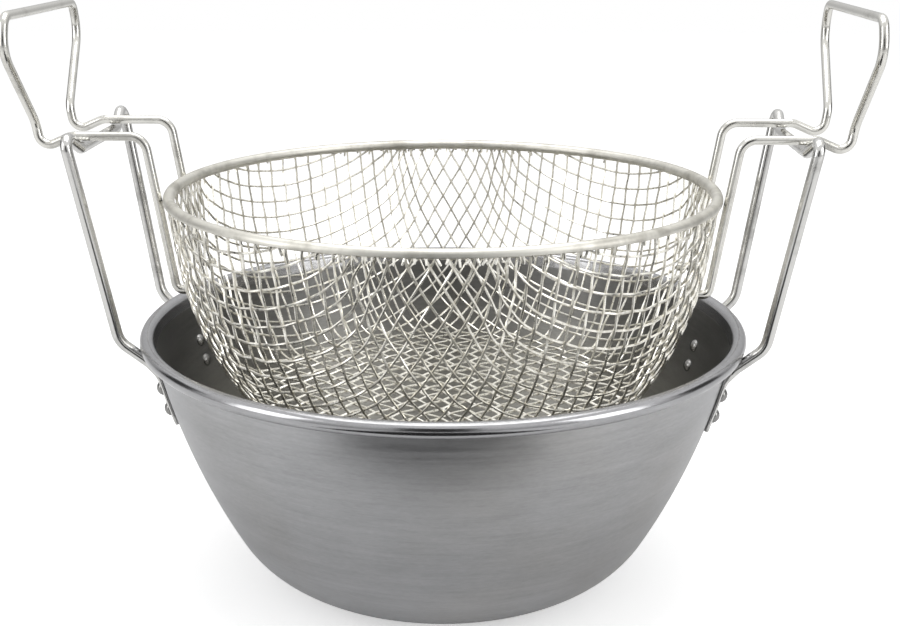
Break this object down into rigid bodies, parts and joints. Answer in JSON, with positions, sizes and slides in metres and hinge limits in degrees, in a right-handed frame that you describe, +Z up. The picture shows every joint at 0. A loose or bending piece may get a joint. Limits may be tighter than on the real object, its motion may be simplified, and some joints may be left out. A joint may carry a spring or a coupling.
{
  "type": "deep fryer pot with wire basket",
  "caption": "Round pressed-steel deep frying pot with upright wire handles and a woven wire basket that hangs on them above the oil to drain.",
  "frame": {"origin": "centre of the pot's flat bottom, on the surface it stands on", "axes": "+Z up along the pot's axis, +X through the right-hand handles, -Y towards the viewer"},
  "size_m": [0.3636, 0.28, 0.2655],
  "materials": {
    "spun_steel": "satin steel with fine rings from forming, darker inside",
    "bright_wire": "bright plated wire with soft dark streaks",
    "rivet_steel": "bright domed rivet heads",
    "tinned_wire": "bright tinned wire, slightly warm",
    "tinned_mesh": "tinned woven wire, warm and bright on the crowns, dull in the crossings",
    "rim_band": "satin rolled strip, slightly warm"
  },
  "bodies": {
    "pot": {"pot_body": "spun_steel", "pot_handle_left": "bright_wire", "pot_handle_right": "bright_wire", "rivets_right_back": "rivet_steel", "rivets_right_front": "rivet_steel", "rivets_left_back": "rivet_steel", "rivets_left_front": "rivet_steel"},
    "basket": {"basket_mesh": "tinned_mesh", "basket_rim_band": "rim_band", "basket_rim_wire": "tinned_wire", "basket_handle_left": "tinned_wire", "basket_handle_right": "tinned_wire"}
  },
  "joints": [
    {"name": "basket_lift", "type": "slide", "parent": "pot", "child": "basket", "axis": [0, 0, 1], "range_m": [0, 0.16]}
  ]
}
